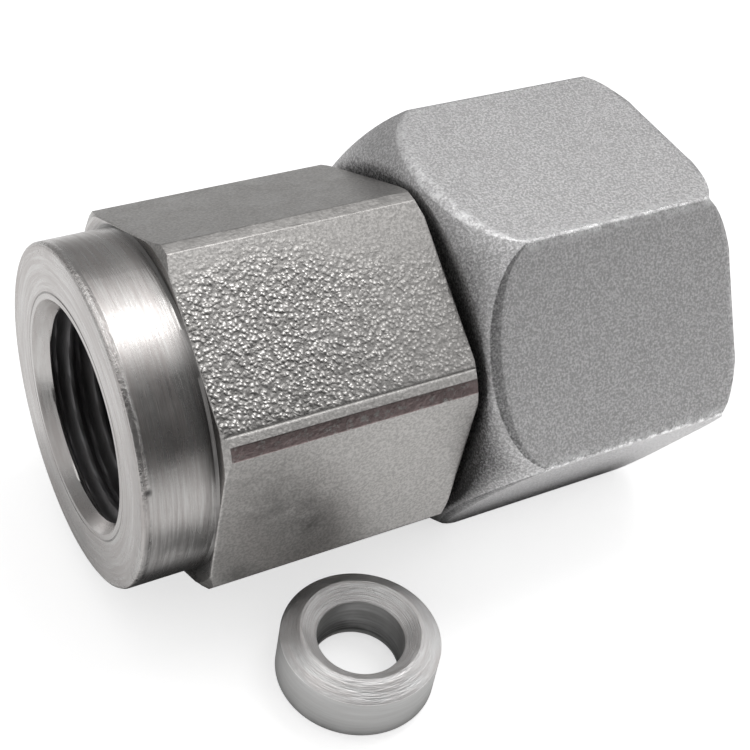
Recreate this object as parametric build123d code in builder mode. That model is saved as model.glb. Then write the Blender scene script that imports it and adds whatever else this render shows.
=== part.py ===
from build123d import *
import os
from math import cos, radians, sqrt, tan

# Pressure gauge adapter, in millimetres. The origin is the centre of the nose's end face, +X runs along
# the adapter towards the union nut, and +Z is up as it lies on one flat of the nut.

# The tube size, which the stub, cutting ring, nut and hexagon bar all follow
tube_diameter = 12.0

# Tube stub behind the body's hexagon, and the groove that the cutting ring's edge has bitten in it
stub_length = 20.5
stub_chamfer = 0.5
stub_wall = 2.0
stub_bore_start = 0.5  # the full bore ends this far past the hexagon's shoulder
passage_step = 1.5  # the bore's drill point narrows to the passage by this much all round
drill_point_angle = 118.0
bite_depth = 0.25
bite_width = 1.0

# Cutting ring, bitten on to the stub inside the nut
cutting_ring_length = 9.3
cutting_ring_wall = 1.4
cutting_ring_back_step = 0.7
cutting_ring_barrel = 3.0
cutting_ring_cone_angle = 12.0
cutting_ring_relief = 0.25
cutting_ring_clearance = 0.02
cutting_ring_lip = 0.6
seat_gap = 1.275  # between the ring and its seat, because the nut isn't tightened

# Union nut, forged, with an M18 x 1.5 thread left plain at its minor diameter
thread_over_tube = 6.0
nut_thread_pitch = 1.5
nut_thread_mouth = 0.1
nut_wall = 1.95  # from the thread's major diameter to a flat
nut_corner_rounding = 0.3
nut_gap = 0.5  # between the body's hexagon and the nut
nut_length = 16.3
dome_margin = 0.1  # the turned domes run out this far outside the hexagon's corners
shoulder_radius = 4.7  # dome cut round the corners at the nut's closed end
shoulder_land = 0.55  # the closed end's edge stands this far inside the flats
mouth_radius = 1.85  # dome cut round the corners at its open end
mouth_land = 0.35  # the open end's edge stands this far outside the flats
nut_clearance = 0.075  # running clearance round the stub
nut_hole_length = 4.2
nut_hole_chamfer = 0.4
nut_chamber_clearance = 0.3
nut_chamber_length = 1.5
seat_angle = 45.0

# Adapter body: one piece turned from hexagon bar, a spanner size under the nut
spanner_step = 2.9
body_lean = 3.3  # degrees that the body's top corner leans from upright
corner_share = 0.98  # turned corners, as a share of the sharp hexagon's
hexagon_length = 14.65
hexagon_chamfer_run = 0.2
hexagon_chamfer_drop = 0.4
nose_step = 0.075  # the nose stands this far inside the flats
nose_length = 4.05
nose_chamfer = 0.2
nose_root = 0.15  # small cone where the nose meets the hexagon

# Gauge port for a G 1/4 thread, with its wall at the thread's minor diameter
port_diameter = 11.445
port_mouth_step = 0.6775
port_lead_in = 1.0
port_depth = 14.3

# Loose sealing ring for the gauge, turned alike on both faces, lying in front of the adapter
seal_diameter = 8.8
seal_wall = 2.0
seal_height = 4.0
seal_ridge_step = 0.9  # from the hole to the middle of the ridge
seal_ridge_land = 0.2
seal_outer_slope = 0.62
seal_inner_slope = 0.65
seal_along = 7.0  # from the start of the body's hexagon
seal_gap = 0.47  # seen from above, between the ring and the body's lower front corner

# Diameters that follow from the tube size
stub_bore_diameter = tube_diameter - 2 * stub_wall
passage_diameter = stub_bore_diameter - 2 * passage_step
cutting_ring_diameter = tube_diameter + 2 * cutting_ring_wall
nut_chamber_diameter = cutting_ring_diameter + 2 * nut_chamber_clearance
nut_thread_major = tube_diameter + thread_over_tube
nut_thread_diameter = nut_thread_major - 1.25 * sqrt(3) / 2 * nut_thread_pitch
nut_across_flats = nut_thread_major + 2 * nut_wall
body_across_flats = nut_across_flats - spanner_step
nose_diameter = body_across_flats - 2 * nose_step
turned_corner_diameter = corner_share * body_across_flats * 2 / sqrt(3)

# Places along the adapter, and the floor under the nut
shoulder_x = nose_length + hexagon_length
stub_end_x = shoulder_x + stub_length
nut_back_x = shoulder_x + nut_gap
nut_front_x = nut_back_x + nut_length
floor_z = -nut_across_flats / 2


def slope_length(height, angle):
    """Length along the axis over which a cone of this half angle rises by the height."""
    return height / tan(radians(angle))


# Where the cutting ring sits, a little off its seat in the nut
stub_r = tube_diameter / 2
nut_hole_r = stub_r + nut_clearance
ring_r = cutting_ring_diameter / 2
ring_back_r = ring_r - cutting_ring_back_step
seat_x = nut_back_x + nut_hole_length
ring_back_x = seat_x + slope_length(ring_back_r - nut_hole_r, seat_angle) + seat_gap
ring_front_x = ring_back_x + cutting_ring_length

with BuildPart() as adapter_body:
    # The hexagon bar
    with BuildSketch(Plane.YZ):
        RegularPolygon(body_across_flats / 2, 6, major_radius=False, rotation=90 + body_lean)
    extrude(amount=stub_end_x)
    # What the lathe leaves of it: nose, turned corners and stub
    nose_r = nose_diameter / 2
    corner_r = turned_corner_diameter / 2
    bite_x = ring_front_x - bite_width
    with BuildSketch(Plane.XY):
        with BuildLine():
            Polyline(
                (0, 0),
                (0, nose_r - nose_chamfer),
                (nose_chamfer, nose_r),
                (nose_length - nose_root, nose_r),
                (nose_length, nose_r + nose_root),
                (nose_length, corner_r - hexagon_chamfer_drop),
                (nose_length + hexagon_chamfer_run, corner_r),
                (shoulder_x - hexagon_chamfer_run, corner_r),
                (shoulder_x, corner_r - hexagon_chamfer_drop),
                (shoulder_x, stub_r),
                (bite_x, stub_r),
                (bite_x, stub_r - bite_depth),
                (ring_front_x, stub_r - bite_depth),
                (ring_front_x, stub_r),
                (stub_end_x - stub_chamfer, stub_r),
                (stub_end_x, stub_r - stub_chamfer),
                (stub_end_x, 0),
                close=True,
            )
        make_face()
    revolve(axis=Axis.X, mode=Mode.INTERSECT)
    # Gauge port, passage and stub bore with its drill point
    port_r = port_diameter / 2
    passage_r = passage_diameter / 2
    bore_r = stub_bore_diameter / 2
    bore_x = shoulder_x + stub_bore_start
    point_length = slope_length(bore_r - passage_r, drill_point_angle / 2)
    with BuildSketch(Plane.XY):
        with BuildLine():
            Polyline(
                (0, 0),
                (0, port_r + port_mouth_step),
                (port_lead_in, port_r),
                (port_depth, port_r),
                (port_depth, passage_r),
                (bore_x - point_length, passage_r),
                (bore_x, bore_r),
                (stub_end_x, bore_r),
                (stub_end_x, 0),
                close=True,
            )
        make_face()
    revolve(axis=Axis.X, mode=Mode.SUBTRACT)

with BuildPart() as cutting_ring:
    hole_r = stub_r + cutting_ring_clearance
    relief_r = hole_r + cutting_ring_relief
    lip_r = stub_r - bite_depth + cutting_ring_clearance
    lip_x = ring_front_x - cutting_ring_lip
    barrel_x = ring_back_x + slope_length(ring_r - ring_back_r, seat_angle)
    cone_x = barrel_x + cutting_ring_barrel
    cone_drop = (ring_front_x - cone_x) * tan(radians(cutting_ring_cone_angle))
    relief_x = ring_back_x + cutting_ring_length / 2
    with BuildSketch(Plane.XY):
        with BuildLine():
            Polyline(
                (ring_back_x, hole_r),
                (ring_back_x, ring_back_r),
                (barrel_x, ring_r),
                (cone_x, ring_r),
                (ring_front_x, ring_r - cone_drop),
                (ring_front_x, lip_r),
                (lip_x, lip_r),
                (lip_x - cutting_ring_lip, relief_r),
                (relief_x, relief_r),
                (relief_x - cutting_ring_relief, hole_r),
                close=True,
            )
        make_face()
    revolve(axis=Axis.X)

with BuildPart() as union_nut:
    # The forged hexagon, with its long edges rounded by the die
    with BuildSketch(Plane.YZ.offset(nut_back_x)):
        RegularPolygon(nut_across_flats / 2, 6, major_radius=False, rotation=0)
        fillet(vertices(), radius=nut_corner_rounding)
    extrude(amount=nut_length)
    # Both ends are domed round the corners by a turned cut
    flat_r = nut_across_flats / 2
    blank_r = nut_across_flats / sqrt(3) + dome_margin
    closed_r = flat_r - shoulder_land
    open_r = flat_r + mouth_land
    closed_depth = sqrt(shoulder_radius**2 - (closed_r - blank_r + shoulder_radius) ** 2)
    open_depth = sqrt(mouth_radius**2 - (open_r - blank_r + mouth_radius) ** 2)
    dome_start = (nut_back_x + closed_depth, blank_r)
    dome_end = (nut_front_x - open_depth, blank_r)
    with BuildSketch(Plane.XY):
        with BuildLine():
            Line((nut_back_x, 0), (nut_back_x, closed_r))
            RadiusArc((nut_back_x, closed_r), dome_start, shoulder_radius)
            Line(dome_start, dome_end)
            RadiusArc(dome_end, (nut_front_x, open_r), mouth_radius)
            Polyline((nut_front_x, open_r), (nut_front_x, 0), (nut_back_x, 0))
        make_face()
    revolve(axis=Axis.X, mode=Mode.INTERSECT)
    # Running hole, seat for the cutting ring, chamber and thread
    chamber_r = nut_chamber_diameter / 2
    thread_r = nut_thread_diameter / 2
    thread_mouth_r = nut_thread_major / 2 + nut_thread_mouth
    chamber_x = seat_x + slope_length(chamber_r - nut_hole_r, seat_angle)
    thread_x = chamber_x + nut_chamber_length
    with BuildSketch(Plane.XY):
        with BuildLine():
            Polyline(
                (nut_back_x, 0),
                (nut_back_x, nut_hole_r + nut_hole_chamfer),
                (nut_back_x + nut_hole_chamfer, nut_hole_r),
                (seat_x, nut_hole_r),
                (chamber_x, chamber_r),
                (thread_x, chamber_r),
                (thread_x + thread_r - chamber_r, thread_r),
                (nut_front_x - (thread_mouth_r - thread_r), thread_r),
                (nut_front_x, thread_mouth_r),
                (nut_front_x, 0),
                close=True,
            )
        make_face()
    revolve(axis=Axis.X, mode=Mode.SUBTRACT)

seal_x = nose_length + seal_along
front_corner_y = -corner_r * cos(radians(30 + body_lean))
seal_y = front_corner_y - seal_gap - seal_diameter / 2
seal_plane = Plane(origin=(seal_x, seal_y, floor_z), x_dir=(1, 0, 0), z_dir=(0, -1, 0))
with BuildPart() as gauge_sealing_ring:
    outer_r = seal_diameter / 2
    inner_r = outer_r - seal_wall
    ridge_in = inner_r + seal_ridge_step - seal_ridge_land / 2
    ridge_out = inner_r + seal_ridge_step + seal_ridge_land / 2
    with BuildSketch(seal_plane):
        with BuildLine():
            Polyline(
                (inner_r, seal_inner_slope),
                (ridge_in, 0),
                (ridge_out, 0),
                (outer_r, seal_outer_slope),
                (outer_r, seal_height - seal_outer_slope),
                (ridge_out, seal_height),
                (ridge_in, seal_height),
                (inner_r, seal_height - seal_inner_slope),
                close=True,
            )
        make_face()
    revolve(axis=Axis((seal_x, seal_y, 0), (0, 0, 1)))

adapter_body.part.label = "adapter_body"
cutting_ring.part.label = "cutting_ring"
union_nut.part.label = "union_nut"
gauge_sealing_ring.part.label = "gauge_sealing_ring"

os.makedirs("parts", exist_ok=True)
export_step(adapter_body.part, "parts/adapter_body.step")
export_step(cutting_ring.part, "parts/cutting_ring.step")
export_step(union_nut.part, "parts/union_nut.step")
export_step(gauge_sealing_ring.part, "parts/gauge_sealing_ring.step")
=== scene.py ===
"""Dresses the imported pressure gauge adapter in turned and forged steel, and lights it in a soft studio."""

from math import asin, cos, pi, radians, sin, sqrt, tan

import bpy
import numpy as np
from bpy.props import FloatProperty, FloatVectorProperty, PointerProperty
from bpy.types import NodeSocket, Operator, Panel, PropertyGroup
from mathutils import Matrix, Vector


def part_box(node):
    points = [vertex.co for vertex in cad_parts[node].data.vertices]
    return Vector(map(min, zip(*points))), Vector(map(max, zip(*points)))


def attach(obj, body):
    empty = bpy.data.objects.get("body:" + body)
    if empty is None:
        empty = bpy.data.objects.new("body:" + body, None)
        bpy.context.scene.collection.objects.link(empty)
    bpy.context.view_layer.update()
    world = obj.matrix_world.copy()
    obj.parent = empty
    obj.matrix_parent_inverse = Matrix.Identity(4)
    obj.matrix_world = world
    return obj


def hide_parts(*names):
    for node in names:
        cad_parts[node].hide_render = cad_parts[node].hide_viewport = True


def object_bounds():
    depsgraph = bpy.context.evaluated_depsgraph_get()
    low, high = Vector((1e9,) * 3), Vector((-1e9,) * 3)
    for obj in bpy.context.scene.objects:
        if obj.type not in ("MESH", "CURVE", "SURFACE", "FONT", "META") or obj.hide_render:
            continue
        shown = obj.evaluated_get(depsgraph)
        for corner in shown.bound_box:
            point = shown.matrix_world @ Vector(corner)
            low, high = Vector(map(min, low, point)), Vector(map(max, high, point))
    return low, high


bl_info = {
    "name": "Pressure gauge adapter",
    "version": (1, 0, 0),
    "blender": (4, 5, 0),
    "location": "3D View > Sidebar > Adapter",
    "description": "Builds the turned and forged steel look of a pressure gauge adapter",
    "category": "Object",
}

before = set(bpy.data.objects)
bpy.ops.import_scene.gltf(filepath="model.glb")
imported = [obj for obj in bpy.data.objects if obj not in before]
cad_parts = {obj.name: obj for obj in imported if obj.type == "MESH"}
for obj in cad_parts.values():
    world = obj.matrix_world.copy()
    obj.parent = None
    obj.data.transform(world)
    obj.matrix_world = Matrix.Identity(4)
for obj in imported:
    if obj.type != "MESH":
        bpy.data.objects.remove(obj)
cad_low, cad_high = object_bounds()
nut_low, nut_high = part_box("union_nut")
body_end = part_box("adapter_body")[1].x
seal_low, seal_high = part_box("gauge_sealing_ring")
MM = 0.001
TURN = 2 * pi
FACE = pi / 3
THREAD_ROWS = 18


# Settings


def length(name, description, default):
    """A size in metres."""
    kind = {"subtype": "DISTANCE", "unit": "LENGTH"}
    return FloatProperty(name=name, description=description, default=default, min=0, precision=6, **kind)


def colour(name, description, default):
    """A colour of the steel."""
    kind = {"size": 3, "min": 0, "max": 1, "subtype": "COLOR"}
    return FloatVectorProperty(name=name, description=description, default=default, **kind)


def brightness(name, description, default):
    """A brightness, where 1 is white."""
    return FloatProperty(name=name, description=description, default=default, min=0)


class BodySizes(PropertyGroup):
    """Sizes of the body, turned from hexagon bar."""

    across_flats: length("Across flats", "Hexagon bar, across its flats", 19 * MM)
    lean: FloatProperty(
        name="Lean",
        description="Turn of the hexagon from a corner on top",
        default=radians(3.3),
        subtype="ANGLE",
        unit="ROTATION",
    )
    corner_radius: length("Corner radius", "Radius of the hexagon's turned corners", 10.75 * MM)
    nose_radius: length("Nose radius", "Radius of the round nose", 9.425 * MM)
    nose_length: length("Nose length", "Length of the round nose", 4.05 * MM)
    hexagon_length: length("Hexagon length", "Length of the hexagon", 14.65 * MM)
    nose_root: length("Nose root", "Small cone at the nose's root", 0.15 * MM)
    face_rounding: length("Face rounding", "Rounding of the end face's burred edge", 0.2 * MM)
    groove_place: length("Groove place", "Distance of a fine groove from the port's mouth", 0.3 * MM)
    chamfer_run: length("Chamfer run", "Length of the hexagon's chamfers", 0.2 * MM)
    chamfer_drop: length("Chamfer drop", "Depth of the hexagon's chamfers", 0.4 * MM)
    edge_break: length("Edge break", "Rounding of the hexagon's end edges", 0.06 * MM)
    stub_radius: length("Stub radius", "Radius of the tube stub", 6 * MM)
    stub_chamfer: length("Stub chamfer", "Chamfer of the stub's end", 0.5 * MM)
    bore_radius: length("Bore radius", "Radius of the stub's bore", 4 * MM)
    bore_start: length("Bore start", "Distance of the full bore from the shoulder", 0.5 * MM)
    passage_radius: length("Passage radius", "Radius of the passage", 2.5 * MM)
    bite_depth: length("Bite depth", "Depth of the cutting ring's bite", 0.25 * MM)
    bite_width: length("Bite width", "Width of that bite", 1 * MM)
    ring_front: length("Cutting ring front", "Place of the cutting ring's front face", 34.6 * MM)
    mouth_radius: length("Mouth radius", "Radius of the gauge port's mouth", 6.4 * MM)
    lead_in: length("Lead-in", "Depth of the port's countersink", 1 * MM)
    port_depth: length("Port depth", "Depth of the port", 14.3 * MM)
    thread_minor: length("Thread minor radius", "Crest radius of the port's G 1/4 thread", 5.7225 * MM)
    thread_major: length("Thread major radius", "Root radius of the port's G 1/4 thread", 6.5785 * MM)
    thread_pitch: length("Thread pitch", "Pitch of the port's G 1/4 thread", 1.337 * MM)
    thread_fade: length("Thread fade", "Length over which the thread runs out", 0.9 * MM)
    pebble_spacing: length("Pebble spacing", "Mean distance of the flat's pebbles", 0.27 * MM)
    pebble_height: length("Pebble height", "Height of the flat's pebbles", 0.022 * MM)
    scratch_inset: length("Scratch inset", "Distance of the scratch from its flat's edge", 0.55 * MM)
    scratch_size: length("Scratch size", "Depth and half width of that scratch", 0.05 * MM)


class NutSizes(PropertyGroup):
    """Sizes of the forged union nut."""

    across_flats: length("Across flats", "Hexagon, across its flats", nut_high.z - nut_low.z)
    corner_rounding: length("Corner rounding", "Rounding of the long edges", 0.3 * MM)
    shoulder_radius: length("Shoulder radius", "Radius of the dome at the closed end", 4.7 * MM)
    shoulder_land: length("Shoulder land", "How far the closed end lies inside the flats", 0.55 * MM)
    mouth_radius: length("Mouth radius", "Radius of the dome at the open end", 1.85 * MM)
    mouth_land: length("Mouth land", "How far the open end reaches outside the flats", 0.35 * MM)
    dome_margin: length("Dome margin", "How far outside the corners the domes run out", 0.1 * MM)
    edge_radius: length("Edge radius", "Forged rounding between the shoulder and the flats", 0.8 * MM)
    edge_break: length("Edge break", "Rounding of the open end's edges", 0.12 * MM)
    ridge_width: length("Ridge width", "Width of the rubbed strip beside the long edges", 0.3 * MM)
    hole_radius: length("Hole radius", "Radius of the running hole", 6.075 * MM)
    hole_length: length("Hole length", "Length of the running hole", 4.2 * MM)
    hole_chamfer: length("Hole chamfer", "Chamfer of the running hole", 0.4 * MM)
    chamber_radius: length("Chamber radius", "Radius of the chamber round the cutting ring", 7.7 * MM)
    chamber_length: length("Chamber length", "Length of that chamber", 1.5 * MM)
    thread_minor: length("Thread minor radius", "Crest radius of the M18 x 1.5 thread", 8.188 * MM)
    thread_major: length("Thread major radius", "Root radius of the M18 x 1.5 thread", 9 * MM)
    thread_pitch: length("Thread pitch", "Pitch of the M18 x 1.5 thread", 1.5 * MM)
    thread_fade: length("Thread fade", "Length over which the thread runs out", 1.2 * MM)
    thread_mouth: length("Thread mouth", "How much wider than the thread its mouth is", 0.1 * MM)


class SealSizes(PropertyGroup):
    """Sizes of the loose sealing ring."""

    radius: length("Radius", "Outside radius", min(*(seal_high - seal_low)[:2]) / 2)
    hole_radius: length("Hole radius", "Radius of the hole", 2.4 * MM)
    ridge_radius: length("Ridge radius", "Radius of the sealing ridge on each face", 3.3 * MM)
    ridge_land: length("Ridge land", "Width of the ridge's flat top", 0.2 * MM)
    outer_slope: length("Outer slope", "Depth of the cone outside the ridge", 0.62 * MM)
    inner_slope: length("Inner slope", "Depth of the cone inside the ridge", 0.65 * MM)
    edge_break: length("Edge break", "Rounding of the edges", 0.05 * MM)


class SteelColours(PropertyGroup):
    """Colours of the steel finishes."""

    turned: colour("Turned steel", "The nose and the other turned surfaces", (0.60, 0.588, 0.575))
    bar: colour("Bar steel", "The hexagon's flats", (0.53, 0.515, 0.5))
    rust: colour("Rusty steel", "The hexagon's corner with old rust", (0.36, 0.285, 0.28))
    # a dark copy of the steel: painted shade inside the port, the bore and the nut's thread
    shaded_bore: colour("Bored steel", "The walls of the port and the bore", (0.22, 0.22, 0.225))
    forged: colour("Forged steel", "The union nut", (0.86, 0.85, 0.855))
    hardened: colour("Hardened steel", "The cutting ring", (0.36, 0.36, 0.35))
    seal: colour("Seal steel", "The loose sealing ring", (0.97, 0.97, 0.96))


class StudioSettings(PropertyGroup):
    """Floor, tent, lamp and camera."""

    floor_size: length("Floor size", "Side of the square floor", 3.0)
    floor_tone: brightness("Floor tone", "Grey of the floor", 0.8)
    floor_glow: brightness("Floor glow", "The floor's own brightness to the camera", 0.62)
    tent_radius: length("Tent radius", "Radius of the tent", 0.3)
    tent_front: brightness("Tent front", "Brightness of the tent in front", 0.1)
    tent_side: brightness("Tent sides", "Brightness of the tent at both sides", 0.65)
    tent_back: brightness("Tent back", "Brightness of the tent at the back", 0.3)
    lamp_energy: FloatProperty(
        name="Overhead lamp", description="Power of the lamp overhead", default=0.3, unit="POWER"
    )
    lens: FloatProperty(name="Lens", description="Focal length in millimetres", default=75.69, unit="CAMERA")


# Turned shapes, whose profile may change with the angle round the axis


def smooth_step(low, high, value):
    """0 up to low, 1 from high on, and a smooth rise between them."""
    share = np.clip((value - low) / (high - low), 0, 1)
    return share * share * (3 - 2 * share)


def bell(value, width):
    """1 at zero, falling to 0 on both sides over about that width."""
    return np.exp(-((value / width) ** 2))


class Profile:
    """Rows of a closed profile, each with a place along the axis and a radius for every angle."""

    sharp_angle = radians(32)

    def __init__(self, angles):
        self.angles = angles
        self.rows = []
        self.finishes = []
        # painted_shade marks where shade and dark reflections are painted into the colour
        self.marks = {"detail": [], "painted_shade": []}

    def add(self, x, r, finish=0, detail=0.0, painted_shade=0.0):
        """A row. Its marks tell from 0 to 1 how strongly the finish's own detail (on the nut, rubbed wear
        with a painted highlight) and its painted shade show there.
        """
        flat = np.ones_like(self.angles)
        self.rows.append((x * flat, r * flat))
        self.finishes.append(finish * np.ones(len(self.angles), np.int32))
        self.marks["detail"].append(detail * flat)
        self.marks["painted_shade"].append(painted_shade * flat)

    def line(self, start, end, count, finish=0, detail=0.0, painted_shade=0.0, painted_shade_end=None):
        """Rows from start to end, without the end itself."""
        change = 0 if painted_shade_end is None else painted_shade_end - painted_shade
        for share in np.arange(count) / count:
            x, r = (a + (b - a) * share for a, b in zip(start, end))
            self.add(x, r, finish, detail, painted_shade + change * share)

    def path(self, stops, finish=0):
        """Rows through stops. Each gives its place, its radius and the rows up to the next stop."""
        for (x, r, count), after in zip(stops, stops[1:] + stops[-1:]):
            self.line((x, r), after[:2], count, finish)

    def thread(self, size, places, start, end, least, finishes):
        """A right-hand internal thread that runs out at both ends, with a least radius for every row."""
        crest, slope, roundness = 0.16, 0.66, 0.35
        depth = size.thread_major - size.thread_minor
        for x, low, finish in zip(places, least, finishes):
            phase = np.mod(x / size.thread_pitch - self.angles / TURN, 1)
            flank = np.clip((np.abs(2 * phase - 1) - crest) / slope, 0, 1)
            form = smooth_step(0, 1, flank) * roundness + flank * (1 - roundness)
            shown = smooth_step(start, start + size.thread_fade, x)
            shown *= 1 - smooth_step(end - size.thread_fade, end, x)
            self.add(x, np.maximum(size.thread_minor + depth * form * shown, low), finish)

    def mesh(self, name):
        """A closed mesh round the X axis. A face takes the finish of the row where it starts."""
        x, r = np.swapaxes(self.rows, 0, 1)
        points = np.stack([x, r * np.cos(self.angles), r * np.sin(self.angles)], axis=-1)
        number = np.arange(x.size).reshape(x.shape)
        across = np.roll(number, -1, axis=1)
        along = np.roll(number, -1, axis=0)
        both = np.roll(across, -1, axis=0)
        quads = np.stack([number, across, both, along], axis=-1).reshape(-1, 4)
        mesh = bpy.data.meshes.new(name)
        mesh.from_pydata(points.reshape(-1, 3).tolist(), [], quads.tolist())
        mesh.polygons.foreach_set("material_index", np.concatenate(self.finishes).astype(np.int32))
        for mark, values in self.marks.items():
            attribute = mesh.attributes.new(mark, "FLOAT", "POINT")
            attribute.data.foreach_set("value", np.concatenate(values).astype(np.float32))
        mesh.shade_smooth()
        mesh.set_sharp_from_angle(angle=self.sharp_angle)
        mesh.update()
        return mesh


def pebbles(along, across, size, spacing, rng):
    """Height of crowded round bumps, each up to 1 high, at points of a flat of that size."""
    count = int(size[0] * size[1] / spacing**2)
    centres = rng.uniform((0, -size[1] / 2), (size[0], size[1] / 2), (count, 2))
    widths = spacing * rng.uniform(0.24, 0.42, count)
    stretch = rng.uniform(0.6, 1.5, count)
    turns = rng.uniform(-0.6, 0.9, count)
    heights = rng.uniform(0.45, 1, count)
    reach = 4
    total = np.zeros(along.shape)
    for centre, width, factor, lean, height in zip(centres, widths, stretch, turns, heights):
        du = (along - centre[0]) * cos(lean) + (across - centre[1]) * sin(lean)
        dv = (across - centre[1]) * cos(lean) - (along - centre[0]) * sin(lean)
        near = (np.abs(du) < reach * width) & (np.abs(dv) < reach * width)
        total[near] += height * bell(du[near] / factor, width) * bell(dv[near], width)
    return total


class HexagonLoop(Profile):
    """A profile with columns on the flats of a hexagon and round its corners."""

    crisp = 0.03 * MM

    def __init__(self, across_flats, half_flat, first_face, extra=()):
        """The extra places, from a flat's middle, are added on the flat with the most columns."""
        flat_angle = np.arctan2(half_flat, across_flats / 2)
        close = self.crisp / half_flat
        corner = np.linspace(flat_angle, FACE - flat_angle, self.corner_columns + 1)
        corner = np.union1d(corner, [flat_angle + close, FACE - flat_angle - close])
        angles = []
        for face, count in enumerate(self.flat_columns):
            places = np.linspace(-half_flat, half_flat, count + 1)
            if count == max(self.flat_columns):
                places = np.union1d(places, extra)
            places = np.union1d(places, [self.crisp - half_flat, half_flat - self.crisp])
            middle = first_face + face * FACE
            angles.extend(middle + np.arctan2(places, across_flats / 2))
            angles.extend(middle + corner[1:-1])
        super().__init__(np.array(angles))
        self.offset = np.mod(self.angles - first_face + FACE / 2, FACE) - FACE / 2


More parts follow.
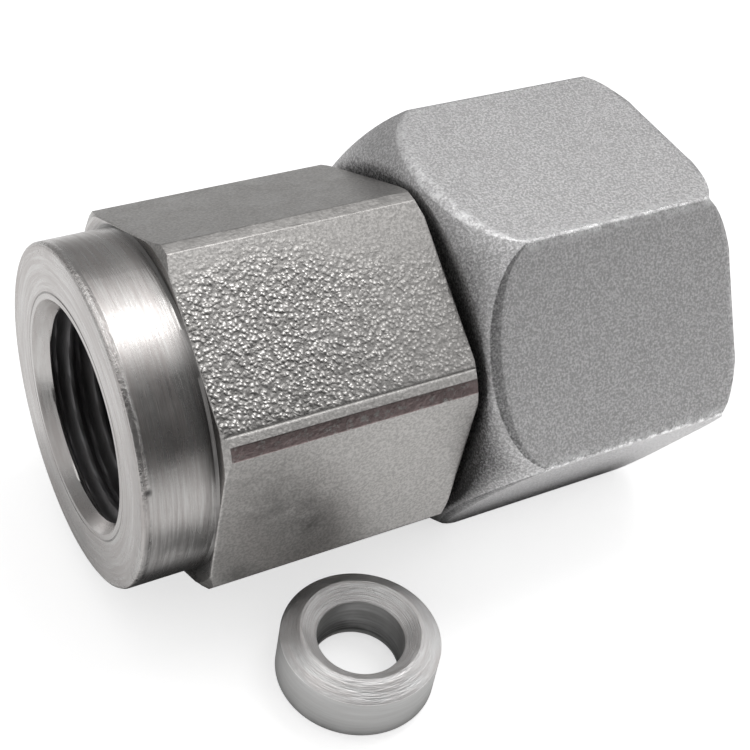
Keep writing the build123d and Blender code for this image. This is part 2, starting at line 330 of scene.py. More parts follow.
class BodyLoop(HexagonLoop):
    """The body's profile: nose, hexagon and stub outside, then bore, passage and port inside."""

    turned, bar, shaded_bore, corner, rusty = range(5)
    pebbled_face = 2
    flat_columns = [16, 16, 84, 28, 16, 16]
    corner_columns = 4
    flat_rows = 122
    drill_angle = radians(59)

    def __init__(self, size):
        self.size = size
        self.shoulder = size.nose_length + size.hexagon_length
        self.half_flat = sqrt(size.corner_radius**2 - (size.across_flats / 2) ** 2)
        self.scratch = self.half_flat - size.scratch_inset
        beside = np.array([-0.11, -0.075, -0.04, 0.0, 0.04, 0.075, 0.11]) * MM
        super().__init__(size.across_flats, self.half_flat, size.lean, self.scratch + beside)
        flat_angle = np.arctan2(self.half_flat, size.across_flats / 2)
        from_pebbled = np.mod(self.angles - size.lean - self.pebbled_face * FACE + pi, TURN) - pi
        self.pebbled = (np.abs(from_pebbled) < FACE / 2) & (np.abs(self.offset) < flat_angle * 1.001)
        on_flat = (self.offset > -flat_angle * 1.001) & (self.offset < flat_angle * 0.999)
        self.faces = np.where(on_flat, self.bar, self.corner)
        self.faces[~on_flat & (np.abs(from_pebbled - FACE / 2) < FACE / 4)] = self.rusty
        self.rim = np.minimum(size.across_flats / 2 / np.cos(self.offset), size.corner_radius)
        land = size.corner_radius - size.chamfer_drop
        self.edge = np.minimum(self.rim, land)
        self.chamfer = size.chamfer_run * np.maximum(self.rim - land, 0) / size.chamfer_drop
        self.end_face()
        self.nose()
        self.front_shoulder()
        self.flats()
        self.stub()
        self.bore()
        self.port()

    def end_face(self):
        """Face round the port's mouth, with its fine groove, painted shade in that groove, and its burred,
        rounded edge.
        """
        size = self.size
        edge = size.nose_radius - size.face_rounding
        groove = size.mouth_radius + size.groove_place
        width, depth = 0.12 * MM, 0.05 * MM
        plain_start = groove + width * 4 / 3
        plain_end = edge - 0.35 * MM
        burr_start = edge - 0.2 * MM
        bend = 0.35 * size.face_rounding
        self.line((0, size.mouth_radius), (0, groove), 2)
        for share in np.linspace(0, 1, 4):
            hollow = sin(pi * share)
            # painted shade in the groove, strongest where it is deepest
            self.add(hollow * depth, groove + share * width, painted_shade=hollow * 0.625)
        self.line((0, plain_start), (0, plain_end), 5)
        self.line((0, burr_start), (0, edge), 2, detail=0.6)
        self.add(0, edge, detail=1.0)
        self.add(bend, size.nose_radius - bend, detail=1.0)

    def nose(self):
        """Side of the nose: burred at its edge, with a painted dark reflection at its left and below, and
        painted shade at its root.
        """
        size = self.size
        radius = size.nose_radius
        burr_end = 0.45 * MM
        plain_start = 0.5 * MM
        root = size.nose_length - size.nose_root
        root_shade_start = root - 0.9 * MM
        left, below, back = np.radians([(153, 165), (171, 182), (290, 330)])
        # painted dark reflection on the nose's front, stronger below and gone at the back
        painted_dark_reflection = 0.25 * smooth_step(*left, self.angles) + 0.45 * smooth_step(*below, self.angles)
        painted_dark_reflection *= 1 - smooth_step(*back, self.angles)
        self.line((size.face_rounding, radius), (burr_end, radius), 2, detail=0.6, painted_shade=painted_dark_reflection)
        self.line((plain_start, radius), (root_shade_start, radius), 12, painted_shade=painted_dark_reflection)
        # painted shade that grows towards the nose's root
        self.line((root_shade_start, radius), (root, radius), 5, painted_shade=painted_dark_reflection, painted_shade_end=np.maximum(painted_dark_reflection, 0.75))
        self.add(root, radius, painted_shade=0.8)

    def front_shoulder(self):
        """Face between the nose and the hexagon, with painted shade in its corner at the nose's root, and the
        broken edge of the flats.
        """
        size, step = self.size, self.size.edge_break
        root = np.minimum(size.nose_radius + size.nose_root, self.edge - step)
        # painted shade in the corner beside the nose
        self.add(size.nose_length, root, painted_shade=0.8)
        self.add(size.nose_length, (root + self.edge - step) / 2, painted_shade=0.4)
        for turn in (0, pi / 6, pi / 3):
            self.add(size.nose_length + step * (1 - cos(turn)), self.edge - step * (1 - sin(turn)), self.bar)

    def flats(self):
        """The bar's flats. One has pebbles, weaker at its right and top, and a long scratch with painted
        shade along it.
        """
        size, pebbled = self.size, self.pebbled
        rows = np.linspace(0, 1, self.flat_rows)[:, None]
        start = size.nose_length + self.chamfer + size.edge_break
        end = self.shoulder - self.chamfer - size.edge_break
        along = start + (end - start) * rows
        sideways = np.tile(size.across_flats / 2 * np.tan(self.offset), (len(rows), 1))
        from_left = (along - size.nose_length) / size.hexagon_length
        from_top = sideways / self.half_flat
        strength = 1 - 0.55 * smooth_step(0.35, 1.0, from_left)
        strength *= smooth_step(-0.85, -0.35, from_top + 0.2 * np.sin(from_left * 5)) * 0.88 + 0.12
        near_scratch = smooth_step(-0.2 * MM, 0.0, sideways - self.scratch)
        strength *= 1 - 0.85 * near_scratch
        strength[:, ~pebbled] = 0
        area = (size.hexagon_length, 2 * self.half_flat)
        from_corner = (along[:, pebbled] - size.nose_length, sideways[:, pebbled])
        height = np.zeros(along.shape)
        height[:, pebbled] = pebbles(*from_corner, area, size.pebble_spacing, np.random.default_rng(7))
        height *= strength * (1 - near_scratch) * size.pebble_height
        height -= bell(sideways - self.scratch, size.scratch_size) * size.scratch_size * pebbled
        height *= smooth_step(0, 0.02, rows) * (1 - smooth_step(0.98, 1, rows))
        # painted shade along the scratch's groove
        scratch_shade = 0.9 * bell(sideways[0] - self.scratch, 0.9 * size.scratch_size) * pebbled
        for x, lift, mark in zip(along, height, strength):
            self.add(x, self.rim + lift, self.faces, mark, scratch_shade)

    def stub(self):
        """Face behind the hexagon, and the plain stub with the groove that the cutting ring has bitten."""
        size, step, radius = self.size, self.size.edge_break, self.size.stub_radius
        back, front, groove = self.shoulder, size.ring_front, size.ring_front - size.bite_width
        bottom, narrow = radius - size.bite_depth, radius - size.stub_chamfer
        round_face = 9.2 * MM
        for turn in (pi / 3, pi / 6, 0):
            self.add(back - step * (1 - cos(turn)), self.edge - step * (1 - sin(turn)))
        face = [(back, round_face, 3), (back, radius, 8)]
        bitten = [(groove, radius, 1), (groove, bottom, 1), (front, bottom, 1), (front, radius, 3)]
        chamfer = [(body_end - size.stub_chamfer, radius, 1), (body_end, narrow, 2)]
        self.path([*face, *bitten, *chamfer, (body_end, size.bore_radius, 0)])

    def bore(self):
        """The stub's bore, its cone and the passage, as far as the bottom of the port."""
        size, wide, narrow = self.size, self.size.bore_radius, self.size.passage_radius
        start = self.shoulder + size.bore_start
        cone = (wide - narrow) / tan(self.drill_angle)
        passage = [(start - cone, narrow, 3), (size.port_depth, narrow, 1)]
        self.path([(body_end, wide, 8), (start, wide, 1), *passage], self.shaded_bore)

    def port(self):
        """The port's thread and countersink, from the bottom to the mouth."""
        size = self.size
        rows = int(size.port_depth / size.thread_pitch * THREAD_ROWS)
        places = np.linspace(size.port_depth, 0.0, rows, endpoint=False)
        sunk = np.minimum(1, places / size.lead_in)
        sink = size.mouth_radius + (size.thread_minor - size.mouth_radius) * sunk
        finishes = np.where(places > size.lead_in + 0.1 * MM, self.shaded_bore, self.turned)
        start, end = 0.35 * MM, size.port_depth - 0.8 * MM
        self.thread(size, places, start, end, sink, finishes)


class NutLoop(HexagonLoop):
    """The nut's profile: closed end, dome, flats and open end outside, then thread, chamber and hole."""

    forged, turned, threaded = range(3)
    flat_columns = [28] * 6
    corner_columns = 6
    dome_rows, flat_rows, mouth_rows = 22, 48, 8

    def __init__(self, size):
        self.size = size
        self.flat = size.across_flats / 2
        rounding = size.corner_rounding
        self.half_flat = (self.flat - rounding) * tan(FACE / 2)
        super().__init__(size.across_flats, self.half_flat, FACE / 2)
        corner_distance = (self.flat - rounding) / cos(FACE / 2)
        from_corner = FACE / 2 - np.abs(self.offset)
        rounded = np.maximum(rounding**2 - (corner_distance * np.sin(from_corner)) ** 2, 0)
        corner = corner_distance * np.cos(from_corner) + np.sqrt(rounded)
        on_flat = np.abs(self.offset) <= np.arctan2(self.half_flat, self.flat) * 1.0001
        self.rim = np.where(on_flat, self.flat / np.cos(self.offset), corner)
        self.blank = size.across_flats / sqrt(3) + size.dome_margin
        from_edge = np.abs(self.half_flat - np.abs(self.flat * np.tan(self.offset)))
        self.ridge = np.maximum(1 - smooth_step(0.0, size.ridge_width, from_edge), ~on_flat * 1.0)
        self.top_face = np.abs(self.angles - pi / 2) < FACE / 2
        crease, tangent = self.closed_end()
        self.forged_edge(crease, crease + tangent)
        self.outside(crease + tangent)
        self.inside()

    def closed_end(self):
        """Closed face and its dome, with painted shade beside the body: full on the face, weaker on top,
        stronger in front and below. Gives where the dome meets the flats, and the rounding's reach.
        """
        size, back, dome = self.size, nut_low.x, self.size.shoulder_radius
        face_edge = self.flat - size.shoulder_land
        dome_r = self.blank - dome
        dome_x = back + sqrt(dome**2 - (face_edge - dome_r) ** 2)
        hole = size.hole_radius + size.hole_chamfer
        # painted shade on the closed face, in the gap beside the body
        self.line((back, hole), (back, face_edge), 6, painted_shade=1.0)
        meet = np.arcsin((self.rim - dome_r) / dome)
        tangent = size.edge_radius * np.tan((pi / 2 - meet) / 2)
        start = asin((face_edge - dome_r) / dome)
        end = meet - tangent / dome
        # painted shade on the dome beside the body, weaker on top and stronger in front and below
        shaded = 0.3 + 0.6 * smooth_step(radians(100), radians(140), self.angles)
        below = smooth_step(radians(165), radians(200), self.angles)
        for share in np.linspace(0, 1, self.dome_rows):
            turn = start + (end - start) * share
            painted_shade = shaded * (1 - share) ** 1.5 + below * 0.45 * (1 - share)
            self.add(dome_x - dome * np.cos(turn), dome_r + dome * np.sin(turn), painted_shade=painted_shade)
        return dome_x - dome * np.cos(meet), tangent

    def forged_edge(self, crease, flat_start):
        """Soft rounding from the dome to the flats, between a curve and a straight cut, with a painted
        highlight along it on the top face, painted shade along it on the other faces, and rubbed wear beside
        the long edges.
        """
        last_x, last_r = self.rows[-1]
        # painted highlight along the top face's edge; elsewhere rubbed wear beside the long edges, brightened
        # as a painted highlight
        worn_and_highlit = np.where(self.top_face, 0.6, self.ridge)
        # painted shade band along the edge of every face but the top one
        crease_shade = np.where(self.top_face, 0.0, 0.85)
        for share in (0.12, 0.3, 0.5, 0.7, 0.88, 1.0):
            dome = ((1 - share) + (1 - share) ** 2) / 2
            flat = (share + share**2) / 2
            x = dome * last_x + (1 - dome - flat) * crease + flat * flat_start
            r = dome * last_r + (1 - dome) * self.rim
            self.add(x, r, detail=worn_and_highlit, painted_shade=crease_shade * (share < 1) * (1 - 0.5 * share))

    def outside(self, flat_start):
        """The flats, the small dome on the corners at the open end, its edge break and its face."""
        size, rim, front, dome = self.size, self.rim, nut_high.x, self.size.mouth_radius
        step = size.edge_break
        face_edge = self.flat + size.mouth_land
        dome_r = self.blank - dome
        dome_x = front - sqrt(dome**2 - (face_edge - dome_r) ** 2)

        def arc(r):
            return dome_x + np.sqrt(np.maximum(dome**2 - (r - dome_r) ** 2, 0))

        cut = rim > face_edge
        flat_end = np.where(cut, arc(rim), front) - step
        for share in np.linspace(0, 1, self.flat_rows)[1:]:
            # rubbed wear beside the long edges and at the open end, brightened further as a painted highlight
            worn_and_highlit = np.maximum(self.ridge, 0.7 * (share > 0.99))
            self.add(flat_start + (flat_end - flat_start) * share, rim, detail=worn_and_highlit)
        low = np.minimum(rim, face_edge)
        for share in np.linspace(0, 1, self.mouth_rows)[1:]:
            r = rim + (low - step - rim) * share
            broken = front - step + np.sqrt(np.maximum(step**2 - (r - low + step) ** 2, 0))
            x = np.minimum(np.where(cut, arc(r), front), np.where(r > low, flat_end + step, broken))
            self.add(x, r)
        mouth = size.thread_major + size.thread_mouth
        self.line((front, low - step * 1.5), (front, mouth), 4, self.turned)

    def inside(self):
        """Thread, chamber, seat and running hole."""
        size, back, front = self.size, nut_low.x, nut_high.x
        seat = back + size.hole_length
        chamber = seat + size.chamber_radius - size.hole_radius
        thread = chamber + size.chamber_length
        inner = thread + size.thread_minor - size.chamber_radius
        mouth = size.thread_major + size.thread_mouth
        rows = int((front - inner) / size.thread_pitch * THREAD_ROWS)
        places = np.linspace(front, inner, rows)
        sink = np.maximum(size.thread_minor, mouth - (front - places))
        self.thread(size, places, inner, front + size.thread_pitch, sink, [self.threaded] * rows)
        wide, narrow = size.chamber_radius, size.hole_radius
        hole = back + size.hole_chamfer
        stops = [(thread, wide, 2), (chamber, wide, 3), (seat, narrow, 4), (hole, narrow, 0)]
        self.path(stops, self.threaded)
        self.add(hole, narrow, self.turned)


class SealLoop(Profile):
    """The loose ring's profile, alike on both faces: a cone outside and one inside a narrow ridge. Its hole's
    wall has painted shade that grows towards its foot.
    """

    cone, side, hole = range(3)
    columns, face_rows = 160, 8

    def __init__(self, size):
        super().__init__(np.linspace(0, TURN, self.columns, endpoint=False))
        height = seal_high.z - seal_low.z
        inner = size.ridge_radius - size.ridge_land / 2
        outer = size.ridge_radius + size.ridge_land / 2
        half = [(size.inner_slope, size.hole_radius), (0, inner), (0, outer), (size.outer_slope, size.radius)]
        corners = [Vector(corner) for corner in half] + [Vector((height - x, r)) for x, r in reversed(half)]
        finishes = [self.cone] * 3 + [self.side] + [self.cone] * 3 + [self.hole]
        for number, (here, finish) in enumerate(zip(corners, finishes)):
            before, after = corners[number - 1], corners[(number + 1) % len(corners)]
            arrive = here + (before - here).normalized() * size.edge_break
            leave = here + (after - here).normalized() * size.edge_break
            end = after + (here - after).normalized() * size.edge_break
            self.add(*arrive)
            self.add(*(arrive * 0.25 + here * 0.5 + leave * 0.25))
            # painted shade on the hole's wall, darkening towards its foot
            self.line(leave, end, self.face_rows, finish, painted_shade_end=float(finish == self.hole))


# Finishes


class Nodes:
    """The nodes of a material or a world, which are added and linked by short calls."""

    def __init__(self, owner):
        owner.use_nodes = True
        self.owner = owner
        self.tree = owner.node_tree

    def link(self, source, target):
        self.tree.links.new(source, target)

    def node(self, kind, sources=(), **values):
        """A new node with these values. A source is linked to its input, and anything else is set there."""
        made = self.tree.nodes.new(kind)
        for key, value in values.items():
            setattr(made, key, value)
        for key, source in dict(sources).items():
            if isinstance(source, NodeSocket):
                self.link(source, made.inputs[key])
            else:
                made.inputs[key].default_value = source
        return made

    def math(self, operation, *values):
        return self.node("ShaderNodeMath", dict(enumerate(values)), operation=operation).outputs[0]

    def times(self, a, b):
        return self.math("MULTIPLY", a, b)

    def seen(self, camera, gloss, through, rest=0.0):
        """A strength for each kind of ray: from the camera, from gloss, through glass, and the rest."""
        path = self.node("ShaderNodeLightPath").outputs
        total = rest
        for kind, share in (("Camera", camera), ("Glossy", gloss), ("Transmission", through)):
            total = self.math("MULTIPLY_ADD", path[f"Is {kind} Ray"], share - rest, total)
        return total


class Finish(Nodes):
    """A material being built."""

    def __init__(self, name):
        super().__init__(bpy.data.materials.new(name))
        self.shader = self.tree.nodes["Principled BSDF"]
        self.place = self.node("ShaderNodeTexCoord").outputs["Object"]

    def vector(self, operation, *values):
        """Vector arithmetic. Lengths, distances and dot products come out as a number."""
        made = self.node("ShaderNodeVectorMath", dict(enumerate(values)), operation=operation)
        number = operation in ("LENGTH", "DISTANCE", "DOT_PRODUCT")
        return made.outputs["Value" if number else "Vector"]

    def round_place(self, centre=(0, 0, 0), axis=0):
        """A place that changes fast across the turning marks, and slowly round the axis."""
        stretch = 22
        parts = self.node("ShaderNodeSeparateXYZ", {0: self.vector("SUBTRACT", self.place, centre)}).outputs
        sides = [parts[i] for i in range(3) if i != axis]
        squares = [self.times(side, side) for side in sides]
        radius = self.math("SQRT", self.math("ADD", *squares))
        across = self.math("ADD", parts[axis], radius)
        slow = [self.math("DIVIDE", side, stretch) for side in sides]
        return self.node("ShaderNodeCombineXYZ", {0: across, 1: slow[0], 2: slow[1]}).outputs[0]

    def mark(self, name):
        """How strongly the mesh's rows are marked, from 0 to 1."""
        return self.node("ShaderNodeAttribute", attribute_name=name).outputs["Fac"]

    def noise(self, size, detail=2.0, roughness=0.5, place=None):
        """Noise whose features are about that size."""
        inputs = {"Scale": 1 / size, "Detail": detail, "Roughness": roughness}
        inputs["Vector"] = self.place if place is None else place
        return self.node("ShaderNodeTexNoise", inputs).outputs["Fac"]

    def range(self, value, low, high, to_low, to_high):
        inputs = {"Value": value, "From Min": low, "From Max": high, "To Min": to_low, "To Max": to_high}
        return self.node("ShaderNodeMapRange", inputs).outputs[0]

    def mix(self, factor, a, b):
        """The colour a where the factor is 0, and b where it is 1."""
        a, b = (source if isinstance(source, NodeSocket) else (*source, 1) for source in (a, b))
        return self.node("ShaderNodeMix", {0: factor, 6: a, 7: b}, data_type="RGBA").outputs[2]

    def bump(self, height, depth, before=None):
        inputs = {"Height": height, "Distance": depth}
        if before is not None:
            inputs["Normal"] = before
        return self.node("ShaderNodeBump", inputs).outputs[0]

    def metal(self, base, roughness, normal):
        """The finished material, as bare metal."""
        self.shader.inputs["Metallic"].default_value = 1.0
        self.link(base, self.shader.inputs["Base Color"])
        self.link(roughness, self.shader.inputs["Roughness"])
        self.link(normal, self.shader.inputs["Normal"])
        return self.owner

    def surface(self, shader):
        """The finished material, with that shader alone."""
        self.link(shader.outputs[0], self.tree.nodes["Material Output"].inputs["Surface"])
        self.tree.nodes.remove(self.shader)
        return self.owner


def shade(tone, factor):
    """The colour made lighter or darker."""
    return tuple(min(1.0, channel * factor) for channel in tone)


def turned_finish(
    name, tone, roughness=0.24, marks=0.2 * MM, depth=0.012 * MM, streaks=0.55, turned_on=(), pit=None
):
    """Lathe-turned steel: marks round the axis, slow stains, and burrs, or painted shade, where it is marked.
    """
    made = Finish(name)
    round_place = made.round_place(*turned_on)
    coarse = made.noise(marks, 4, 0.65, round_place)
    fine = made.noise(marks / 3, 2, 0.5, round_place)
    stains = made.noise(2.2 * MM, 3, 0.55)
    burrs = made.times(made.noise(0.3 * MM, 4, 0.65), made.mark("detail"))
    normal = made.bump(made.math("ADD", coarse, made.times(fine, 0.5)), depth)
    normal = made.bump(made.noise(0.12 * MM, 2), 0.0015 * MM, normal)
    normal = made.bump(burrs, 0.09 * MM, normal)
    warm = tuple(channel * tint for channel, tint in zip(shade(tone, 0.62), (1.05, 0.96, 0.95)))
    base = made.mix(stains, shade(tone, 0.86), shade(tone, 1.08))
    base = made.mix(made.range(coarse, 0.35, 0.6, 0.0, streaks), base, warm)
    ragged = made.range(made.math("ADD", coarse, stains), 0.7, 1.2, 0.6, 1.2)
    # painted shade where the mesh is marked, ragged along the turning marks
    base = made.mix(made.times(made.mark("painted_shade"), ragged), base, shade(tone, 0.22))
    if pit is not None:
        torn = made.times(burrs, 0.3 * MM)
        from_pit = made.math("ADD", made.vector("DISTANCE", made.place, pit), torn)
        base = made.mix(made.range(from_pit, 0.16 * MM, 0.34 * MM, 1.0, 0.0), base, shade(tone, 0.08))
    rough = made.range(made.math("ADD", stains, coarse), 0.6, 1.4, roughness * 0.75, roughness * 1.6)
    return made.metal(base, rough, normal)


def corner_finish(name, tone, roughness=0.38, bare=None):
    """A turned corner of the bar, with a fine grain and slow stains, and perhaps spots of bare steel."""
    made = Finish(name)
    grain = made.noise(0.2 * MM, 3, 0.6)
    stains = made.noise(1.4 * MM, 3, 0.6)
    base = made.mix(made.range(stains, 0.35, 0.65, 0.0, 1.0), shade(tone, 0.82), shade(tone, 1.12))
    base = made.mix(made.range(grain, 0.35, 0.65, 0.0, 0.6), base, shade(tone, 0.6))
    if bare is not None:
        spots = made.noise(0.45 * MM, 5, 0.7)
        base = made.mix(made.range(spots, 0.54, 0.64, 0.0, 0.9), base, bare)
    rough = made.range(stains, 0.3, 0.7, roughness * 0.8, roughness * 1.2)
    return made.metal(base, rough, made.bump(grain, 0.02 * MM))


def pebble_domes(made):
    """Height of small crowded domes, from 0 between them to 1 at their tops, with wavering outlines."""
    warp = made.node("ShaderNodeTexNoise", {"Vector": made.place, "Scale": 1 / (0.3 * MM)}).outputs["Color"]
    shift = made.node("ShaderNodeVectorMath", {0: warp, "Scale": 0.2 * MM}, operation="SCALE").outputs[0]
    inputs = {"Vector": made.vector("ADD", made.place, shift), "Scale": 1 / (0.21 * MM), "Smoothness": 0.5}
    cells = made.node("ShaderNodeTexVoronoi", inputs, feature="SMOOTH_F1")
    return made.range(cells.outputs["Distance"], 0.05, 0.7, 1.0, 0.0)


def bar_finish(name, tone, roughness=0.36):
    """Drawn bar: smooth, slightly mottled flats with faint pits, and hammered pebbles where it is marked,
    with painted highlights on their tops, painted shade between them, and painted shade along the scratch.
    """
    made = Finish(name)
    pebbled = made.mark("detail")
    mottle = made.noise(1.6 * MM, 4, 0.6)
    speckle = made.noise(0.15 * MM, 3, 0.65)
    cells = made.node("ShaderNodeTexVoronoi", {"Vector": made.place, "Scale": 1 / (0.45 * MM)})
    pits = made.range(cells.outputs["Distance"], 0.02, 0.16, 1.0, 0.0)
    dome = pebble_domes(made)
    # painted shade between the pebbles
    valley_shade = made.times(made.range(dome, 0.15, 0.5, 0.6, 0.0), pebbled)
    # painted highlight on the pebbles' tops
    crest = made.times(made.range(dome, 0.55, 0.75, 0.0, 1.0), pebbled)
    base = made.mix(mottle, shade(tone, 0.88), shade(tone, 1.1))
    base = made.mix(made.range(speckle, 0.42, 0.58, 0.0, 0.75), base, shade(tone, 0.62))
    base = made.mix(made.times(pits, 0.35), base, shade(tone, 0.5))
    base = made.mix(valley_shade, base, shade(tone, 0.45))
    base = made.mix(crest, base, shade(tone, 1.8))
    # painted shade along the scratch
    base = made.mix(made.mark("painted_shade"), base, shade(tone, 0.25))
    normal = made.bump(made.noise(0.5 * MM, 3, 0.5), 0.01 * MM)
    normal = made.bump(speckle, 0.009 * MM, normal)
    normal = made.bump(made.times(dome, pebbled), 0.026 * MM, normal)
    rough = made.range(mottle, 0.3, 0.7, roughness * 0.85, roughness * 1.3)
    smooth = made.math("MULTIPLY_ADD", pebbled, -0.25, 1.0)
    return made.metal(base, made.times(rough, smooth), normal)


def forged_finish(name, tone, roughness=0.5):
    """Forged, blasted and plated: an even fine grain, rubbed bright with a painted highlight, or darkened
    with painted shade, where it is marked.
    """
    made = Finish(name)
    grain = made.noise(0.13 * MM, 3, 0.75)
    lumps = made.noise(0.9 * MM, 3, 0.5)
    patches = made.noise(4 * MM, 2)
    chips = made.range(made.noise(0.5 * MM, 4, 0.7), 0.45, 0.58, 0.0, 1.0)
    # painted shade where the mesh is marked
    grainy_shade = made.times(made.mark("painted_shade"), made.range(grain, 0.35, 0.6, 0.55, 1.0))
    # rubbed wear with a painted highlight where the mesh is marked
    worn_and_highlit = made.times(made.mark("detail"), chips)
    base = made.mix(patches, shade(tone, 0.93), shade(tone, 1.05))
    base = made.mix(made.range(grain, 0.4, 0.56, 0.0, 0.8), base, shade(tone, 0.5))
    base = made.mix(grainy_shade, base, shade(tone, 0.12))
    base = made.mix(worn_and_highlit, base, shade(tone, 1.35))
    normal = made.bump(lumps, 0.02 * MM)
    normal = made.bump(grain, 0.045 * MM, normal)
    rough = made.range(grain, 0.3, 0.7, roughness * 0.85, roughness * 1.15)
    worn = made.math("MULTIPLY_ADD", worn_and_highlit, -0.62, 1.0)
    return made.metal(base, made.times(rough, worn), normal)


# Pieces


def new_object(name, data):
    """An object in the scene."""
    made = bpy.data.objects.new(name, data)
    bpy.context.scene.collection.objects.link(made)
    return made


def new_piece(name, mesh, materials, body, slot, *nodes):
    """An object from the mesh, riding on its body and standing for its solid."""
    for material in materials:
        mesh.materials.append(material)
    piece = new_object(name, mesh)
    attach(piece, body)
    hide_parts(*nodes)


class ADAPTER_OT_body(Operator):
    """Build the adapter's body: round nose, pebbled hexagon bar, threaded port and stub"""

    bl_idname = "adapter.body"
    bl_label = "Adapter body"

    def execute(self, context):
        colours = context.scene.adapter_colours
        mesh = BodyLoop(context.scene.adapter_body).mesh("adapter_body_steel")
        nose_pit = (0.3 * MM, -8.84 * MM, 3.04 * MM)
        materials = [
            turned_finish("turned_steel", colours.turned, pit=nose_pit),
            bar_finish("bar_steel", colours.bar),
            # the port's and the bore's walls, darkened with painted shade
            turned_finish("bored_steel", colours.shaded_bore, roughness=0.5),
            corner_finish("corner_steel", colours.bar),
            corner_finish("rusty_steel", colours.rust, 0.32, shade(colours.bar, 0.85)),
        ]
        new_piece("adapter_body_steel", mesh, materials, "adapter", "turned_steel", "adapter_body")
        return {"FINISHED"}


class ADAPTER_OT_nut(Operator):
    """Build the forged union nut: rounded hexagon, domed ends, seat and thread"""

    bl_idname = "adapter.nut"
    bl_label = "Union nut"

    def execute(self, context):
        colours = context.scene.adapter_colours
        mesh = NutLoop(context.scene.adapter_nut).mesh("union_nut_steel")
        materials = [
            forged_finish("forged_steel", colours.forged),
            turned_finish("faced_steel", colours.forged, roughness=0.3),
            # the nut's thread, darkened with painted shade
            turned_finish("threaded_steel", colours.shaded_bore, roughness=0.3),
        ]
        new_piece("union_nut_steel", mesh, materials, "nut", "forged_steel", "union_nut")
        return {"FINISHED"}


class ADAPTER_OT_seal(Operator):
    """Build the loose sealing ring, turned alike on both faces"""

    bl_idname = "adapter.seal"
    bl_label = "Sealing ring"

    def execute(self, context):
        tone = context.scene.adapter_colours.seal
        mesh = SealLoop(context.scene.adapter_seal).mesh("gauge_sealing_ring_steel")
        centre = (seal_low + seal_high) / 2
        foot = Matrix.Translation((centre.x, centre.y, seal_low.z))
        mesh.transform(foot @ Matrix.Rotation(-pi / 2, 4, "Y"))
        upright = (tuple(centre), 2)
        cone = {"roughness": 0.45, "marks": 0.11 * MM, "depth": 0.055 * MM, "streaks": 0.45}
        side = {"roughness": 0.42, "marks": 0.16 * MM, "depth": 0.002 * MM, "streaks": 0.12}
        hole = {"roughness": 0.45, "marks": 0.16 * MM, "depth": 0.001 * MM, "streaks": 0.12}
        materials = [
            turned_finish("seal_steel", tone, turned_on=upright, **cone),
            # the side wall and the hole's wall are darker copies of the cones' steel: painted shade
            turned_finish("seal_side_steel", shade(tone, 0.59), turned_on=upright, **side),
            turned_finish("seal_hole_steel", shade(tone, 0.7), turned_on=upright, **hole),
        ]
        new_piece("gauge_sealing_ring_steel", mesh, materials, "adapter", "seal_steel", "gauge_sealing_ring")
        return {"FINISHED"}


class ADAPTER_OT_cutting_ring(Operator):
    """Finish the cutting ring inside the nut in hardened steel"""

    bl_idname = "adapter.cutting_ring"
    bl_label = "Cutting ring"

    def execute(self, context):
        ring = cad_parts["cutting_ring"]
        ring.data.materials.clear()
        hardened = context.scene.adapter_colours.hardened
        ring.data.materials.append(turned_finish("hardened_steel", hardened, roughness=0.35))
        return {"FINISHED"}


# Stage


def floor_distances(made):
    """How far a place on the floor is from the adapter's foot, and from this or the loose ring's wall."""
    foot_middle = 17 * MM
    foot_half = (16 * MM, 8 * MM, 1)
    moved = made.vector("ADD", made.place, (-foot_middle, 0, cad_high.z))
    outside = made.vector("SUBTRACT", made.vector("ABSOLUTE", moved), foot_half)
    from_foot = made.vector("LENGTH", made.vector("MAXIMUM", outside, (0, 0, 0)))
    ring_middle = (*((seal_low + seal_high) / 2).xy, seal_low.z)
    wall_radius, wall_half = 3.3 * MM, 1 * MM
    from_middle = made.vector("DISTANCE", made.place, ring_middle)
    from_wall = made.math("ABSOLUTE", made.math("SUBTRACT", from_middle, wall_radius))
    from_wall = made.math("MULTIPLY_ADD", from_wall, 2.0, -2 * wall_half)
    return from_foot, made.math("MINIMUM", from_foot, from_wall)


def floor_material(studio):
    """Pale floor that keeps the object's shadow. The metal sees it as a sheet: with a painted contact shadow
    close by the adapter and the loose ring's wall, and dark far away.
    """
    made = Finish("studio_floor")
    from_foot, nearest = floor_distances(made)
    far = made.range(from_foot, 30 * MM, 130 * MM, 1.0, 0.42)
    near = made.range(nearest, 0.5 * MM, 4 * MM, 0.0, 0.4)
    # painted contact shadow, seen only in reflections, close to the adapter's foot and the loose ring's wall
    close = made.range(nearest, 0.2 * MM, 3.0 * MM, 0.15, 1.0)
    gloss = made.node("ShaderNodeLightPath").outputs["Is Glossy Ray"]
    shown = made.times(made.math("MINIMUM", far, close), gloss)
    shown = made.math("ADD", shown, made.math("SUBTRACT", 1.0, gloss))
    glow = made.seen(studio.floor_glow, 0.0, studio.floor_glow)
    strength = made.math("MULTIPLY_ADD", made.times(near, far), gloss, glow)
    diffuse = made.node("ShaderNodeBsdfDiffuse", {"Color": made.times(shown, studio.floor_tone)})
    light = made.node("ShaderNodeEmission", {"Strength": strength})
    return made.surface(made.node("ShaderNodeAddShader", {0: diffuse.outputs[0], 1: light.outputs[0]}))


def studio_floor(studio):
    """A square floor at the object's foot."""
    half = studio.floor_size / 2
    corners = [(-half, -half), (half, -half), (half, half), (-half, half)]
    mesh = bpy.data.meshes.new("studio_floor")
    mesh.from_pydata([(x, y, cad_low.z) for x, y in corners], [], [(0, 1, 2, 3)])
    mesh.materials.append(floor_material(studio))
    floor = new_object("studio_floor", mesh)


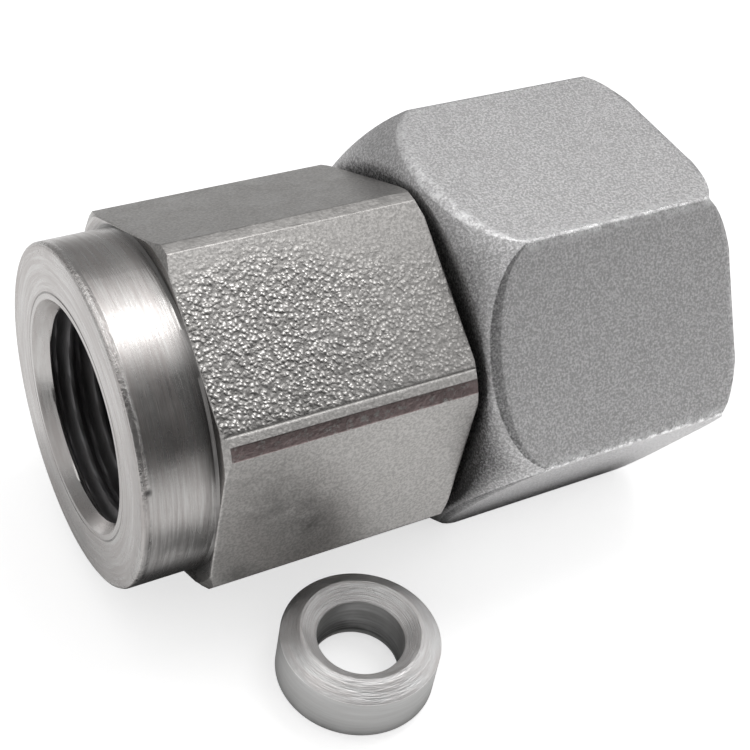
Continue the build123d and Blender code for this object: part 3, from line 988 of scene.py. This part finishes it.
def world_light():
    """White to the camera and in reflections, and a soft grey light on everything else."""
    made = Nodes(bpy.data.worlds.new("studio_world"))
    inputs = made.tree.nodes["Background"].inputs
    inputs["Color"].default_value = (1, 1, 1, 1)
    made.link(made.seen(1.0, 1.0, 1.0, 0.6), inputs["Strength"])
    return made.owner


def tent_mesh(radius):
    """Six rings of a round dome that is open at the top."""
    count = 64
    heights = np.radians([1, 15, 30, 45, 58, 68])
    around = np.linspace(0, TURN, count, endpoint=False)
    points = [Vector((cos(h) * cos(a), cos(h) * sin(a), sin(h))) * radius for h in heights for a in around]
    quads = []
    for low in range(0, (len(heights) - 1) * count, count):
        for i in range(count):
            after = (i + 1) % count
            quads.append((low + i, low + after, low + count + after, low + count + i))
    mesh = bpy.data.meshes.new("studio_tent")
    mesh.from_pydata(points, [], quads)
    return mesh


def tent_material(studio):
    """Dim cloth, darker at some sides than at others, and white towards its opening."""
    made = Finish("studio_tent")
    turned, tilt = radians(-5), radians(9)
    white_from, white_to = radians(46), radians(68)
    outward = made.vector("NORMALIZE", made.vector("MULTIPLY", made.place, (1, 1, 0)))
    frontal = made.vector("DOT_PRODUCT", outward, (sin(turned), -cos(turned), 0))
    level = made.node("ShaderNodeFloatCurve", {"Value": made.math("MULTIPLY_ADD", frontal, 0.5, 0.5)})
    curve = level.mapping.curves[0]
    back, side, front = studio.tent_back, studio.tent_side, studio.tent_front
    curve.points[0].location = (0.0, back)
    curve.points[1].location = (1.0, front)
    for share, tone in ((0.25, back), (0.5, side), (0.75, side), (0.91, front)):
        curve.points.new(share, tone)
    level.mapping.update()
    upward = (0, sin(tilt) / studio.tent_radius, cos(tilt) / studio.tent_radius)
    height = made.vector("DOT_PRODUCT", made.place, upward)
    inputs = {"Value": height, "From Min": sin(white_from), "From Max": sin(white_to)}
    rise = made.node("ShaderNodeMapRange", inputs, interpolation_type="SMOOTHSTEP")
    strength = made.math("ADD", level.outputs[0], rise.outputs[0])
    return made.surface(made.node("ShaderNodeEmission", {"Strength": strength}))


def studio_tent(studio):
    """A tent for the metal to reflect. The camera doesn't see it, and it doesn't shade the floor."""
    mesh = tent_mesh(studio.tent_radius)
    mesh.materials.append(tent_material(studio))
    tent = new_object("studio_tent", mesh)
    tent.visible_camera = False
    tent.visible_shadow = False
    tent.visible_diffuse = False


def overhead_lamp(studio):
    """A square lamp above the adapter. Azimuth 0 is in front, and 90 at the right."""
    azimuth, elevation, distance = radians(108), radians(70), 0.4
    away = Vector((sin(azimuth) * cos(elevation), -cos(azimuth) * cos(elevation), sin(elevation)))
    data = bpy.data.lights.new("overhead_lamp", "AREA")
    data.shape = "SQUARE"
    data.size = 0.16
    data.energy = studio.lamp_energy
    lamp = new_object("overhead_lamp", data)
    lamp.location = (cad_low + cad_high) / 2 + away * distance
    lamp.rotation_mode = "QUATERNION"
    lamp.rotation_quaternion = away.to_track_quat("Z", "Y")


def studio_camera(studio):
    """The camera, in front of the gauge end and above it."""
    data = bpy.data.cameras.new("camera")
    data.lens = studio.lens
    data.clip_start = 5 * MM
    camera = new_object("camera", data)
    camera.location = (-21.598 * MM, -55.846 * MM, 59.899 * MM)
    camera.rotation_euler = (radians(47.089), radians(-7.874), radians(-28.588))
    return camera


class ADAPTER_OT_stage(Operator):
    """Lay the floor and set the tent, the lamp, the world and the camera"""

    bl_idname = "adapter.stage"
    bl_label = "Stage"

    def execute(self, context):
        scene = context.scene
        studio = scene.adapter_studio
        studio_floor(studio)
        studio_tent(studio)
        overhead_lamp(studio)
        scene.world = world_light()
        scene.camera = studio_camera(studio)
        scene.view_settings.view_transform = "Standard"
        return {"FINISHED"}


class ADAPTER_PT_panel(Panel):
    """Lists the adapter's pieces and settings in the sidebar"""

    bl_idname = "ADAPTER_PT_panel"
    bl_label = "Pressure gauge adapter"
    bl_space_type = "VIEW_3D"
    bl_region_type = "UI"
    bl_category = "Adapter"

    def draw(self, context):
        for operator in PIECES:
            self.layout.operator(operator.bl_idname, text=operator.bl_label)
        for group in GROUPS:
            settings = getattr(context.scene, group)
            box = self.layout.box()
            for name in settings.bl_rna.properties.keys():
                if name not in ("rna_type", "name"):
                    box.prop(settings, name)


PIECES = (ADAPTER_OT_body, ADAPTER_OT_nut, ADAPTER_OT_seal, ADAPTER_OT_cutting_ring, ADAPTER_OT_stage)
GROUPS = {
    "adapter_body": BodySizes,
    "adapter_nut": NutSizes,
    "adapter_seal": SealSizes,
    "adapter_colours": SteelColours,
    "adapter_studio": StudioSettings,
}


def register():
    for group, kind in GROUPS.items():
        bpy.utils.register_class(kind)
        setattr(bpy.types.Scene, group, PointerProperty(type=kind))
    for kind in (*PIECES, ADAPTER_PT_panel):
        bpy.utils.register_class(kind)


def unregister():
    for kind in (ADAPTER_PT_panel, *reversed(PIECES)):
        bpy.utils.unregister_class(kind)
    for group, kind in reversed(GROUPS.items()):
        delattr(bpy.types.Scene, group)
        bpy.utils.unregister_class(kind)


def main():
    register()
    bpy.ops.adapter.body()
    bpy.ops.adapter.nut()
    bpy.ops.adapter.seal()
    bpy.ops.adapter.cutting_ring()
    bpy.ops.adapter.stage()


if __name__ == "__main__":
    main()
